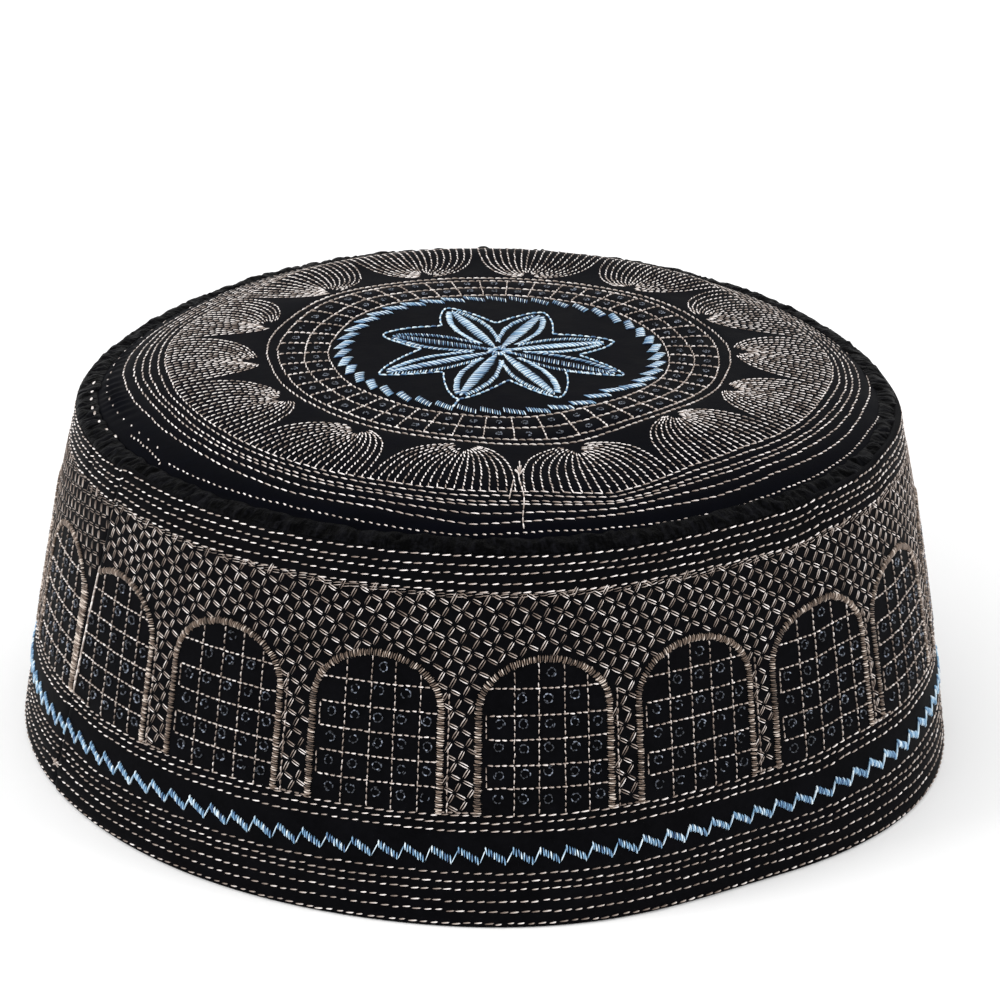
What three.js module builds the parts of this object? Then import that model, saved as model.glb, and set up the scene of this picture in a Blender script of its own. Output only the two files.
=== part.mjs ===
// An embroidered round cap. A slightly domed crown panel and a sloping side band of quilted
// cloth are joined edge to edge by a thick overcast seam. The band is one strip whose ends meet
// in a slanting join. Millimetres, +Z up, rim on z = 0. Bearing 0 is the front (-Y), 90 is +X.
import * as THREE from 'three';

// Driving dimensions
const CLOTH = 2.0;
const SEWN_GAP = 0.3;
const RIM_RADIUS = 93.15;
const BAND_TOP = 66.7;
const CROWN_TOP = 75.6;
const CROWN_EDGE_RADIUS = 76.9;
const SEAM_WIDTH = 4.3;
const SEAM_HEIGHT = 3.2;
const STATION_STEP = 3;

// Outer line of the side band, from the rim up
const BAND_PROFILE = [
  { height: 0, radius: RIM_RADIUS },
  { height: 13.7, radius: 90.9 },
  { height: 33, radius: 87.85 },
  { height: 51.5, radius: 84.6 },
  { height: BAND_TOP, radius: 81.5 },
];
const BAND_OUTER_ROWS = 8;
const BAND_INNER_ROWS = 4;

// Upper line of the crown, from the middle out
const CROWN_PROFILE = [
  { radius: 0, height: CROWN_TOP },
  { radius: 31, height: 75.2 },
  { radius: 45, height: 74.7 },
  { radius: 64.5, height: 73.4 },
  { radius: 72, height: 71.3 },
  { radius: CROWN_EDGE_RADIUS, height: 69.5 },
];
const CROWN_UPPER_ROWS = 10;
const CROWN_UNDER_ROWS = 6;

// Pushes of the plan outline, outwards positive, at the rim and at the crown
const PLAN_DENTS = [
  { bearing: 4, spread: 15, rim: 0.7, crown: 0.3 },
  { bearing: 32, spread: 13, rim: -2.0, crown: -1.0 },
  { bearing: 64, spread: 18, rim: 2.1, crown: 0.6 },
  { bearing: 96, spread: 22, rim: -0.4, crown: -0.5 },
  { bearing: -95, spread: 40, rim: -0.1, crown: -0.5 },
  { bearing: 150, spread: 24, rim: -0.9, crown: -0.4 },
  { bearing: 205, spread: 26, rim: 0.8, crown: 0.4 },
];

// Where the shoulder slumps below its full height
const SHOULDER_SLUMPS = [
  { bearing: -108, spread: 38, drop: 2.7 },
  { bearing: 103, spread: 34, drop: 2.2 },
];
const SLUMP_FROM = 40;

// Soft hollows and swells of the crown panel, downwards negative
const CROWN_SAGS = [
  { bearing: 43, radius: 46, spread: 16, lift: 1.1 },
  { bearing: 17, radius: 50, spread: 13, lift: -0.8 },
  { bearing: -133, radius: 41, spread: 17, lift: 1.3 },
  { bearing: 135, radius: 46, spread: 14, lift: 0.7 },
];

// The band's closing join: a valley that leans from the rim to the top edge
const JOIN_AT_RIM = -63.6;
const JOIN_AT_TOP = -58;
const JOIN_REACH = 12;
const JOIN_CLEAR = 1;
const JOIN_VALLEY = [
  { offset: -3, depth: 0 },
  { offset: -1.6, depth: -0.35 },
  { offset: -0.7, depth: 0.5 },
  { offset: 0, depth: 1.0 },
  { offset: 0.7, depth: 0.45 },
  { offset: 1.7, depth: 0 },
  { offset: 3, depth: 0 },
];

// Section of the overcast seam, as shares of its width and height from the inner bottom corner
const SEAM_SECTION = [
  { across: 1.0, up: 0.03 },
  { across: 0.98, up: 0.3 },
  { across: 0.84, up: 0.62 },
  { across: 0.56, up: 0.9 },
  { across: 0.24, up: 1.0 },
  { across: 0.0, up: 0.8 },
  { across: 0.0, up: 0.18 },
  { across: 0.2, up: 0.0 },
  { across: 0.55, up: 0.0 },
];

const CLOTH_BLACK = new THREE.MeshStandardMaterial({ color: 0x191a1e, roughness: 0.82, metalness: 0 });
const SEAM_BLACK = new THREE.MeshStandardMaterial({ color: 0x101012, roughness: 0.95, metalness: 0 });

const degreesApart = (a, b) => THREE.MathUtils.euclideanModulo(a - b + 180, 360) - 180;
const bell = (distance, spread) => Math.exp(-((distance / spread) ** 2));

function planPush(bearing, height) {
  const share = THREE.MathUtils.clamp(height / BAND_TOP, 0, 1);
  let push = 0;
  for (const dent of PLAN_DENTS) {
    const size = THREE.MathUtils.lerp(dent.rim, dent.crown, share);
    push += size * bell(degreesApart(bearing, dent.bearing), dent.spread);
  }
  return push;
}

function crownLift(bearing, radius) {
  const angle = THREE.MathUtils.degToRad(bearing);
  let lift = 0;
  for (const sag of CROWN_SAGS) {
    const sagAngle = THREE.MathUtils.degToRad(sag.bearing);
    const dx = radius * Math.sin(angle) - sag.radius * Math.sin(sagAngle);
    const dy = radius * Math.cos(angle) - sag.radius * Math.cos(sagAngle);
    lift += sag.lift * bell(Math.hypot(dx, dy), sag.spread);
  }
  return lift;
}

function shoulderDrop(bearing, height) {
  let drop = 0;
  for (const slump of SHOULDER_SLUMPS) {
    drop += slump.drop * bell(degreesApart(bearing, slump.bearing), slump.spread);
  }
  return drop * THREE.MathUtils.smoothstep(height, SLUMP_FROM, BAND_TOP);
}

// A point of the cap from its bearing and its undented radius and height
function placed(bearing, radius, height) {
  const angle = THREE.MathUtils.degToRad(bearing);
  const reach = Math.min(radius / CROWN_EDGE_RADIUS, 1);
  const pushed = radius + reach ** 2 * planPush(bearing, height);
  const settled = height - reach ** 4 * shoulderDrop(bearing, height);
  return new THREE.Vector3(pushed * Math.sin(angle), -pushed * Math.cos(angle), settled);
}

// Sweeps an outline round the axis. The outline runs up on its outer side. Points on the axis
// become single vertices, and an outline without them closes on itself as a ring.
function sweepRound(outline, bearings, pointAt) {
  const vertices = [];
  const rows = outline.map((spot) => {
    const stations = spot.radius > 0 ? bearings : [0];
    return stations.map((bearing) => vertices.push(pointAt(bearing, spot)) - 1);
  });
  const isRing = outline.every((spot) => spot.radius > 0);
  const triangles = [];
  const strips = isRing ? rows.length : rows.length - 1;
  for (let i = 0; i < strips; i += 1) {
    const low = rows[i];
    const high = rows[(i + 1) % rows.length];
    for (let j = 0; j < bearings.length; j += 1) {
      const next = (j + 1) % bearings.length;
      if (low.length > 1) triangles.push(low[j], low[next], high[next % high.length]);
      if (high.length > 1) triangles.push(low[j % low.length], high[next], high[j]);
    }
  }
  const geometry = new THREE.BufferGeometry().setFromPoints(vertices);
  geometry.setIndex(triangles);
  geometry.computeVertexNormals();
  return geometry;
}

function evenBearings() {
  return Array.from({ length: 360 / STATION_STEP }, (_, i) => -180 + i * STATION_STEP);
}

function profileRows(profile, count) {
  const curve = new THREE.SplineCurve(profile.map((spot) => new THREE.Vector2(spot.radius, spot.height)));
  return curve.getPoints(count).map((point) => ({ radius: point.x, height: point.y }));
}

// Side band: the outer wall going up, then the inner wall coming down one cloth thickness in
function sideBandGeometry() {
  const outer = profileRows(BAND_PROFILE, BAND_OUTER_ROWS).map((spot) => ({ ...spot, isOuter: true }));
  const inner = profileRows(BAND_PROFILE, BAND_INNER_ROWS).reverse();
  for (const spot of inner) spot.radius -= CLOTH;
  const joinMiddle = (JOIN_AT_RIM + JOIN_AT_TOP) / 2;
  const reach = JOIN_VALLEY.at(-1).offset;
  const plain = evenBearings().filter((bearing) => Math.abs(bearing - joinMiddle) > reach + JOIN_CLEAR);
  const valley = JOIN_VALLEY.map((column) => joinMiddle + column.offset);
  const bearings = [...plain, ...valley].sort((a, b) => a - b);
  return sweepRound([...outer, ...inner], bearings, (bearing, spot) => {
    const lean = THREE.MathUtils.lerp(JOIN_AT_RIM, JOIN_AT_TOP, spot.height / BAND_TOP) - joinMiddle;
    const leaning = bearing + lean * bell(bearing - joinMiddle, JOIN_REACH);
    const column = JOIN_VALLEY[valley.indexOf(bearing)];
    const sunk = spot.isOuter && column ? column.depth : 0;
    return placed(leaning, spot.radius - sunk, spot.height);
  });
}

// Crown: the under side going out, then the upper side coming back to the middle
function crownGeometry() {
  const under = profileRows(CROWN_PROFILE, CROWN_UNDER_ROWS);
  for (const spot of under) spot.height -= CLOTH;
  const upper = profileRows(CROWN_PROFILE, CROWN_UPPER_ROWS).reverse();
  return sweepRound([...under, ...upper], evenBearings(), (bearing, spot) => {
    const point = placed(bearing, spot.radius, spot.height);
    const edgeShare = spot.radius / CROWN_EDGE_RADIUS;
    point.z += crownLift(bearing, spot.radius) * (1 - edgeShare ** 4);
    return point;
  });
}

// Overcast seam: a plump bead of stitches over both raw edges
function crownSeamGeometry() {
  const innerRadius = CROWN_EDGE_RADIUS + SEWN_GAP;
  const foot = BAND_TOP + SEWN_GAP;
  const outline = SEAM_SECTION.map(({ across, up }) => ({
    radius: innerRadius + across * SEAM_WIDTH,
    height: foot + up * SEAM_HEIGHT,
  }));
  return sweepRound(outline, evenBearings(), (bearing, spot) => placed(bearing, spot.radius, spot.height));
}

function named(name, geometry, material) {
  const mesh = new THREE.Mesh(geometry, material);
  mesh.name = name;
  return mesh;
}

const cap = new THREE.Group();
cap.add(named('side_band', sideBandGeometry(), CLOTH_BLACK));
cap.add(named('crown', crownGeometry(), CLOTH_BLACK));
cap.add(named('crown_seam', crownSeamGeometry(), SEAM_BLACK));

// The origin is the middle of the rim's footprint
const middle = new THREE.Box3().setFromObject(cap).getCenter(new THREE.Vector3());
cap.position.set(-middle.x, -middle.y, 0);

export default cap;
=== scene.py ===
# An embroidered kufi of black cotton satin: a sloping side band closed by a slanting join, a low
# domed crown panel, the gathered seam between them, and cream and blue embroidery on both.
# Bearings run from the front (-Y) with 90 at +X. Sizes are millimetres until a point is placed.
import math

import bmesh
import bpy
import numpy as np
from mathutils import Matrix, Vector


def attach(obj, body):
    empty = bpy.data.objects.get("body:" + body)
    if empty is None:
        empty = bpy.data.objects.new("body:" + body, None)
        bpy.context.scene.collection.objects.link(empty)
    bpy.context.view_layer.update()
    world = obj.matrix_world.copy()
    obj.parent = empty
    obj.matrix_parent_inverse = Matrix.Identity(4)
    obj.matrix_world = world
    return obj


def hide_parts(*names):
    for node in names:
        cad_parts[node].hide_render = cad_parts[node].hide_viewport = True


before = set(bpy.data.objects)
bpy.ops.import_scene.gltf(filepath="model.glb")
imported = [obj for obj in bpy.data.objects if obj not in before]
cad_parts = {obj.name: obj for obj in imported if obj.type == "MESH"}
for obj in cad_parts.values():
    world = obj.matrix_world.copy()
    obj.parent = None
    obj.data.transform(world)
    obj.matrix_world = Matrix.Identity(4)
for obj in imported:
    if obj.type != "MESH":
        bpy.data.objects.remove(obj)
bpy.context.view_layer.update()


# View. The camera stands in front of the cap and above it, slightly rolled, with the long lens
# that the photograph's flat perspective asks for. The axis is the one the cap is shaped round.
MM = 0.001
AXIS = np.array((-0.0201, 0.2597, 0.0))
CAMERA_ELEVATION = 0.409793
CAMERA_ROLL = 0.01484
CAMERA_DISTANCE = 700.05
CAMERA_TARGET = np.array((0.0, 0.0, 40.0))
CAMERA_LENS = 126.115
CAMERA_SHIFT = (0.01405, 0.0175)

back = Vector((0, -math.cos(CAMERA_ELEVATION), math.sin(CAMERA_ELEVATION)))
level_up = Vector((0, math.sin(CAMERA_ELEVATION), math.cos(CAMERA_ELEVATION)))
level_right = Vector((1, 0, 0))
right = level_right * math.cos(CAMERA_ROLL) + level_up * math.sin(CAMERA_ROLL)
up = level_up * math.cos(CAMERA_ROLL) - level_right * math.sin(CAMERA_ROLL)
stand = (Vector(CAMERA_TARGET + AXIS) + back * CAMERA_DISTANCE) * MM
bpy.ops.object.camera_add()
camera = bpy.context.object
camera.matrix_world = Matrix.Translation(stand) @ Matrix((right, up, back)).transposed().to_4x4()
camera.data.lens = CAMERA_LENS
camera.data.sensor_width = 36
camera.data.shift_x = CAMERA_SHIFT[0]
camera.data.shift_y = CAMERA_SHIFT[1]
camera.data.clip_start = 0.05
camera.data.clip_end = 20
scene = bpy.context.scene
scene.camera = camera
scene.view_settings.view_transform = "Standard"
scene.view_settings.look = "None"


# Studio. A wide white floor under an even white surround, with a soft round light at the left and
# a weaker one at the right, so the black cloth keeps a gentle sheen.
class Socket:
    """A shader socket for Python expressions. Each operator adds the Math node it stands for."""

    def __init__(self, tree, output=None):
        self.tree = tree
        self.output = output

    def node(self, kind, settings, sockets, output=0):
        made = self.tree.nodes.new(kind)
        for name, value in settings.items():
            if name != "stops":
                setattr(made, name, value)
        for number, (spot, colour) in enumerate(settings.get("stops", ())):
            if number > 1:
                made.color_ramp.elements.new(spot)
            made.color_ramp.elements[number].position = spot
            made.color_ramp.elements[number].color = colour
        for name, value in sockets.items():
            if isinstance(value, Socket):
                self.tree.links.new(value.output, made.inputs[name])
            else:
                made.inputs[name].default_value = value
        return Socket(self.tree, made.outputs[output] if len(made.outputs) else None)

    def math(self, operation, *values):
        return self.node("ShaderNodeMath", {"operation": operation}, dict(enumerate(values)))

    def __add__(self, other):
        return self.math("ADD", self, other)

    def __sub__(self, other):
        return self.math("SUBTRACT", self, other)

    def __mul__(self, other):
        return self.math("MULTIPLY", self, other)

    def __truediv__(self, other):
        return self.math("DIVIDE", self, other)

    def __pow__(self, other):
        return self.math("POWER", self, other)

    __radd__ = __add__


def new_finish(name):
    finish = bpy.data.materials.new(name)
    finish.use_nodes = True
    finish.node_tree.nodes.clear()
    return finish, Socket(finish.node_tree)


def mixed(share, first, second):
    colours = {0: share, 6: first, 7: second}
    return share.node("ShaderNodeMix", {"data_type": "RGBA"}, colours, 2)


def surfaced(start, sockets):
    """Ends a finish with one principled surface."""
    shader = start.node("ShaderNodeBsdfPrincipled", {}, sockets)
    start.node("ShaderNodeOutputMaterial", {}, {"Surface": shader})


def soft_light(name, place, aim, size, power):
    bpy.ops.object.light_add(type="AREA", location=place)
    lamp = bpy.context.object
    lamp.name = name
    lamp.rotation_euler = (Vector(aim) - Vector(place)).to_track_quat("-Z", "Y").to_euler()
    lamp.data.shape = "DISK"
    lamp.data.size = size
    lamp.data.energy = power


bpy.ops.object.select_all(action="DESELECT")
bpy.ops.mesh.primitive_plane_add(size=8)
floor = bpy.context.object
floor.name = "studio_floor"
floor_finish, start = new_finish("white_floor")
place = start.node("ShaderNodeTexCoord", {}, {}, "Object")
mottle = start.node("ShaderNodeTexNoise", {}, {"Vector": place, "Scale": 9.0, "Detail": 3.0})
paper = mixed(mottle, (0.93, 0.93, 0.93, 1), (0.95, 0.95, 0.95, 1))
surfaced(start, {"Base Color": paper, "Roughness": 0.9})
floor.data.materials.append(floor_finish)

surround = bpy.data.worlds.new("white_surround")
surround.use_nodes = True
surround.node_tree.nodes["Background"].inputs["Color"].default_value = (1, 1, 1, 1)
surround.node_tree.nodes["Background"].inputs["Strength"].default_value = 1.0
scene.world = surround
soft_light("key_light", (-1.1, -0.4, 0.7), (0, 0, 0.04), 0.6, 10)
soft_light("fill_light", (1.1, -0.4, 0.6), (0, 0, 0.04), 0.6, 6)


# Side band. One strip of quilted black cotton satin, about 2 mm thick, turned under at the rim.
# Its ends meet in a slanting join at the left front, and its top edge turns in under the seam.
# The stitched lines pull the cloth in, and near the shoulder they ride up in soft ripples.
CLOTH = 2.0
RIM_RADIUS = 93.15
BAND_TOP = 66.7
BAND_SLOPE = 0.150
BAND_CURVE = 0.000375
BEARING_MM = 1.518
WEAVE_SLANT = 0.12
CROWN_EDGE_RADIUS = 76.9
# Pushes of the outline: bearing, spread, push at the rim, push at the crown
PLAN_DENTS = (
    (4, 15, 0.7, 0.3),
    (32, 13, -2.0, -1.0),
    (64, 18, 2.1, 0.6),
    (96, 22, -0.4, -0.5),
    (-95, 40, -0.1, -0.5),
    (150, 24, -0.9, -0.4),
    (205, 26, 0.8, 0.4),
)
# Slumps of the shoulder: bearing, spread, drop
SHOULDER_SLUMPS = ((-108, 38, 2.7), (103, 34, 2.2))
SLUMP_FROM = 40
JOIN_AT_RIM = -62.8
JOIN_AT_TOP = -56.8
JOIN_OFFSETS = (-2, -0.8, -0.25, 0, 0.2, 0.6, 2)
JOIN_DEPTHS = (0, 0.1, 0.25, 0.5, 0, -0.15, 0)
CREASE_BEARING = -66.5
CREASE_SPREAD = 0.4
CREASE_DEPTH = 0.6
CREASE_LEVELS = (56, 62)
# Steps by which the lines ride up at the right: bearings from and to, rise
RIPPLE_STEPS = ((44, 49, 0.8), (62, 66, 0.6), (75, 100, -1.4))
RIPPLE_LEVELS = (2, 16)
SHOULDER_LIFT = 1.1
SHOULDER_LIFT_FADE = 12
SHOULDER_LIFT_LEVELS = (50, 60)
RIM_LIFT = 1.2
RIM_LIFT_FADE = 5
RIM_LIFT_LEVELS = (1, 6, 16, 24)
RIM_LINES = (0.9, 3.2, 5.17, 7.3, 8.7, 10.37)
ARCH_FOOT_LINES = (18.3, 19.9, 21.1)
SHOULDER_LINES = (61.6, 63.1, 64.8, 66.15, 67.8)
BAND_LINES = RIM_LINES + ARCH_FOOT_LINES + SHOULDER_LINES
QUILT_DEPTH = 0.2
QUILT_SPREAD = 0.5


def bell(distance, spread):
    return np.exp(-((distance / spread) ** 2))


def degrees_apart(first, second):
    return (first - second + 180) % 360 - 180


def smooth_step(value, low, high):
    share = np.clip((value - low) / (high - low), 0, 1)
    return share * share * (3 - 2 * share)


def placed(bearing, radius, height):
    """A point of the cap in metres, from its bearing and its undented radius and height."""
    bearing, radius, height = np.broadcast_arrays(bearing, radius, height)
    share = np.clip(height / BAND_TOP, 0, 1)
    push = 0
    for at, spread, rim, crown in PLAN_DENTS:
        push = push + (rim + (crown - rim) * share) * bell(degrees_apart(bearing, at), spread)
    drop = 0
    for at, spread, most in SHOULDER_SLUMPS:
        drop = drop + most * bell(degrees_apart(bearing, at), spread)
    reach = np.minimum(radius / CROWN_EDGE_RADIUS, 1)
    pushed = radius + reach**2 * push
    settled = height - reach**4 * drop * smooth_step(height, SLUMP_FROM, BAND_TOP)
    angle = np.radians(bearing)
    return (np.stack((pushed * np.sin(angle), -pushed * np.cos(angle), settled), -1) + AXIS) * MM


def join_bearing(height):
    return JOIN_AT_RIM + (JOIN_AT_TOP - JOIN_AT_RIM) * height / BAND_TOP


def ripple(bearing, height):
    """How far the stitched lines ride up at the right and just after the join."""
    turn = degrees_apart(bearing, 0)
    past_join = degrees_apart(bearing, join_bearing(height))
    rise = 0
    for first, last, size in RIPPLE_STEPS:
        rise = rise + size * smooth_step(turn, first, last)
    rise = rise * smooth_step(height, *RIPPLE_LEVELS)
    beyond = np.maximum(past_join, 0)
    after = SHOULDER_LIFT * np.exp(-beyond / SHOULDER_LIFT_FADE)
    after = after * smooth_step(height, *SHOULDER_LIFT_LEVELS)
    low = smooth_step(height, *RIM_LIFT_LEVELS[:2]) - smooth_step(height, *RIM_LIFT_LEVELS[2:])
    after = after + RIM_LIFT * np.exp(-beyond / RIM_LIFT_FADE) * low
    return rise + after * smooth_step(past_join, 0, 0.8)


def band_point(bearing, height, inward=0.0):
    """A point of the band's cloth, from its bearing and its height up the flat strip."""
    sunk = np.interp(degrees_apart(bearing, join_bearing(height)), JOIN_OFFSETS, JOIN_DEPTHS)
    crease = bell(degrees_apart(bearing, CREASE_BEARING), CREASE_SPREAD)
    sunk = sunk + CREASE_DEPTH * (crease * smooth_step(height, *CREASE_LEVELS))
    quilted = 0
    for line in BAND_LINES:
        quilted = quilted + QUILT_DEPTH * bell(height - line, QUILT_SPREAD)
    outer = RIM_RADIUS - BAND_SLOPE * height - BAND_CURVE * height**2
    sunk = np.where(inward < 1, sunk + quilted, 0)
    return placed(bearing, outer - sunk - inward, height + ripple(bearing, height))


def swept_cloth(name, turns, section, point_at, weave_at):
    """A closed skin over a grid: columns stand at the turns and rows follow the section."""
    bpy.ops.object.select_all(action="DESELECT")
    bpy.ops.mesh.primitive_grid_add(
        x_subdivisions=len(turns) - 1, y_subdivisions=len(section) - 1, size=2
    )
    skin = bpy.context.object
    skin.name = name
    flat = np.empty(len(skin.data.vertices) * 3)
    skin.data.vertices.foreach_get("co", flat)
    flat = flat.reshape(-1, 3)
    column = np.rint((flat[:, 0] + 1) / 2 * (len(turns) - 1)).astype(int)
    row = np.rint((flat[:, 1] + 1) / 2 * (len(section) - 1)).astype(int)
    turn = np.asarray(turns)[column]
    spot = np.asarray(section)[row]
    skin.data.vertices.foreach_set("co", point_at(turn, spot).astype(np.float32).ravel())
    corner = np.empty(len(skin.data.loops), dtype=int)
    skin.data.loops.foreach_get("vertex_index", corner)
    weave = (weave_at(turn, spot, row) * MM)[corner]
    skin.data.uv_layers[0].name = "weave"
    skin.data.uv_layers[0].data.foreach_set("uv", weave.astype(np.float32).ravel())
    bpy.ops.object.mode_set(mode="EDIT")
    bpy.ops.mesh.select_all(action="SELECT")
    bpy.ops.mesh.remove_doubles(threshold=1e-6)
    bpy.ops.mesh.normals_make_consistent(inside=False)
    bpy.ops.object.mode_set(mode="OBJECT")
    bpy.ops.object.shade_smooth()
    return skin


def satin_finish(name, dark, light):
    """Black cotton satin: a fine slanting weave, faint slubs, and a sheen painted into its colour where
    its folds rise.
    """
    finish, start = new_finish(name)
    place = start.node("ShaderNodeUVMap", {"uv_map": "weave"}, {})
    parts = {"Vector": place}
    across = start.node("ShaderNodeSeparateXYZ", {}, parts, "X")
    along = start.node("ShaderNodeSeparateXYZ", {}, parts, "Y")
    twill = ((across * 0.8 + along) * 16000).math("SINE")
    twill = twill * ((across * 0.6 - along) * 19000).math("SINE") * 0.35 + twill * 0.65
    crease = start.node("ShaderNodeTexNoise", {}, {"Vector": place, "Scale": 160.0, "Detail": 4.0})
    slub = start.node("ShaderNodeTexNoise", {}, {"Vector": place, "Scale": 900.0, "Detail": 2.0})
    # The colour is lighter on the raised folds, a painted sheen, and mottled by slubs and the weave.
    shade = (crease * 0.6 + slub * 0.4 + twill * 0.12) * 1.6 - 0.35
    colour_with_painted_light = mixed(shade, dark, light)
    relief = crease * 3.2 + twill * 0.35 + slub * 0.5
    bump = start.node("ShaderNodeBump", {}, {"Strength": 0.5, "Distance": 0.00007, "Height": relief})
    sockets = {"Base Color": colour_with_painted_light, "Roughness": 0.46 + crease * 0.2, "Normal": bump}
    sockets.update({"Specular IOR Level": 0.014, "Sheen Weight": 0.001, "Sheen Roughness": 0.4})
    surfaced(start, sockets)
    return finish


line_rows = np.array(sorted(BAND_LINES))
between_rows = (line_rows[1:] + line_rows[:-1]) / 2
plain_rows = np.arange(23.6, 60, 2.6)
outer_rows = np.concatenate((line_rows, line_rows - 0.45, line_rows + 0.45, between_rows, plain_rows))
outer_rows = np.sort(outer_rows[outer_rows > 1.2])
inner_wall = [(height, CLOTH) for height in (66, 56, 44, 32, 20, 10, 4, 1.6)]
fold_turn = np.radians(np.arange(0, 181, 22.5))
rim_fold = [(1 - math.sin(turn), 1 + math.cos(turn)) for turn in fold_turn]
outer_wall = [(height, 0) for height in outer_rows]
top_fold = [(68.2, 0.1), (68.35, 0.4), (68.35, 1.0), (68.0, 1.6), (67.2, CLOTH), (66, CLOTH)]
band_section = np.array(inner_wall + rim_fold + outer_wall + top_fold)
near_join = np.array((0, 0.12, 0.25, 0.45, 0.8, 1.4, 2.2))
at_crease = np.arange(351.3, 353, 0.22)
band_turns = np.concatenate((near_join, np.arange(3, 357.1, 0.75), at_crease, 360 - near_join))
band_turns = np.sort(band_turns)
band_run = np.concatenate(([0], np.cumsum(np.hypot(*np.diff(band_section, axis=0).T))))

side_band = swept_cloth(
    "side_band_cloth",
    band_turns,
    band_section,
    lambda turn, spot: band_point(join_bearing(spot[:, 0]) + turn, spot[:, 0], spot[:, 1]),
    lambda turn, spot, row: np.stack((turn * BEARING_MM + spot[:, 0] * WEAVE_SLANT, band_run[row]), -1),
)
band_satin = satin_finish("band_satin", (0.0007, 0.0007, 0.0009, 1), (0.0032, 0.0032, 0.0042, 1))
side_band.data.materials.append(band_satin)
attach(side_band, "root")
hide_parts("side_band")


# Crown. A round panel of the same quilted satin, slightly domed, with soft swells left by the
# embroidery. Its pattern sits a little to the right of the cap's axis, and its edge turns down
# into the seam, drawn into small gathers at the left.
CROWN_TOP = 75.6
DOME_DROP = 2.5
EDGE_DROP = 3.6
CROWN_QUILT_DEPTH = 0.16
# Swells of the panel: bearing, radius, spread, lift
CROWN_SAGS = ((43, 46, 16, 1.1), (17, 50, 13, -0.8), (-133, 41, 17, 1.3), (135, 46, 14, 0.7))
CREST_LIFT = 1.6
CREST_REACH = 63
CREST_SPREADS = (9, 4.5)
CREST_FROM = (38, 52)
CREST_TO = (128, 142)
CRIMP_COUNT = 145
CRIMP_HEIGHT = 0.26
CRIMP_REACH = 74.6
CRIMP_SPREAD = 1.4
CRIMP_FROM = (138, 150)
CRIMP_TO = (190, 206)
PATTERN_SHIFT = 2.107
SHIFT_FADE = (74, 80)
EDGE_TUCK = (76.3, 76.6)
EDGE_LINES = (64.4, 65.7, 67.2, 68.0, 69.9, 71.9)
SEAM_LINE = 75.4
GRID_LINES = (33.4, 38.2, 43.0, 45.0)
CROWN_LINES = GRID_LINES + EDGE_LINES + (SEAM_LINE,)
WANDER_FROM = (36, 58)
# Wander of the pattern: its angle, then how far out the fans' foot, the last round and the seam line lie
WANDER = (
    (0, 1.3, 1.5, 0.6),
    (12, 3.0, 3.2, 0.6),
    (22, 3.0, 3.0, 0.4),
    (36, 1.8, 1.8, 0),
    (54, 0, 0, 0),
    (128, 0, 0, 0),
    (144, 1.8, 1.8, 1.6),
    (160, 3.0, 3.2, 2.5),
    (170, 2.5, 3.0, 2.2),
    (180, 1.5, 2.2, 1.7),
    (190, 0.1, 0.9, 0.7),
    (202, -0.6, -0.6, -0.5),
    (212, -0.6, -0.6, -0.7),
    (216, -0.6, -0.6, 0.9),
    (240, -0.2, 0.5, 0.3),
    (252, -0.5, 0.1, 0.2),
    (266, -0.5, 1.8, 0.9),
    (276, -0.5, 0.5, -0.2),
    (288, 2.1, 0.6, 0),
    (296, 0.4, 0.3, 0.5),
    (304, -1.6, 0.3, 0.6),
    (316, -2.6, -1.1, -0.7),
    (330, -2.0, -1.0, -1.2),
    (342, -1.2, -0.8, -1.4),
    (350, -0.4, -0.1, -0.6),
    (360, 1.3, 1.5, 0.6),
)


def crown_spot(angle, reach):
    """Plan place of a pattern point, its angle turning from +X and its reach from the middle."""
    at, fan_foot, last_round, seam_line = np.array(WANDER).T
    angle, reach = np.broadcast_arrays(np.asarray(angle) % 360, reach)
    offset = np.interp(angle, at, fan_foot) * smooth_step(reach, *WANDER_FROM)
    outer = np.clip((reach - EDGE_LINES[0]) / (EDGE_LINES[-1] - EDGE_LINES[0]), 0, 1)
    offset = offset + (np.interp(angle, at, last_round) - offset) * outer
    outer = np.clip((reach - EDGE_LINES[-1]) / (SEAM_LINE - EDGE_LINES[-1]), 0, 1)
    offset = offset + (np.interp(angle, at, seam_line) - offset) * outer
    wandered = reach + offset * (1 - smooth_step(reach, SEAM_LINE, CROWN_EDGE_RADIUS))
    turn = np.radians(angle)
    tucked = smooth_step(-np.cos(turn), 0, 0.3) * smooth_step(reach, *EDGE_TUCK)
    shift = PATTERN_SHIFT * (1 - smooth_step(reach, *SHIFT_FADE)) * (1 - tucked)
    return shift + wandered * np.cos(turn), wandered * np.sin(turn)


def crown_point(angle, reach, below=0.0):
    """A point of the crown's cloth, from its pattern angle and reach."""
    across, deep = crown_spot(angle, reach)
    radius = np.hypot(across, deep)
    share = radius / CROWN_EDGE_RADIUS
    height = CROWN_TOP - DOME_DROP * share**2 - EDGE_DROP * share**9
    for at, out, spread, lift in CROWN_SAGS:
        aside = across - out * math.sin(math.radians(at))
        beyond = deep + out * math.cos(math.radians(at))
        height = height + lift * bell(np.hypot(aside, beyond), spread) * (1 - share**4)
    turn = angle % 360
    behind = smooth_step(turn, *CREST_FROM) * (1 - smooth_step(turn, *CREST_TO))
    crest = bell(reach - CREST_REACH, np.where(reach < CREST_REACH, *CREST_SPREADS))
    height = height + CREST_LIFT * behind * crest
    gathered = smooth_step(turn, *CRIMP_FROM) * (1 - smooth_step(turn, *CRIMP_TO))
    folds = np.sin(np.radians(CRIMP_COUNT * turn) + 2 * np.sin(np.radians(17 * turn)) + 0.8 * reach)
    height = height + CRIMP_HEIGHT * folds * gathered * bell(reach - CRIMP_REACH, CRIMP_SPREAD)
    for line in CROWN_LINES:
        height = height - CROWN_QUILT_DEPTH * bell(reach - line, QUILT_SPREAD) * (below < 1)
    return placed(np.degrees(np.arctan2(across, -deep)), radius, height - below)


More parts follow.
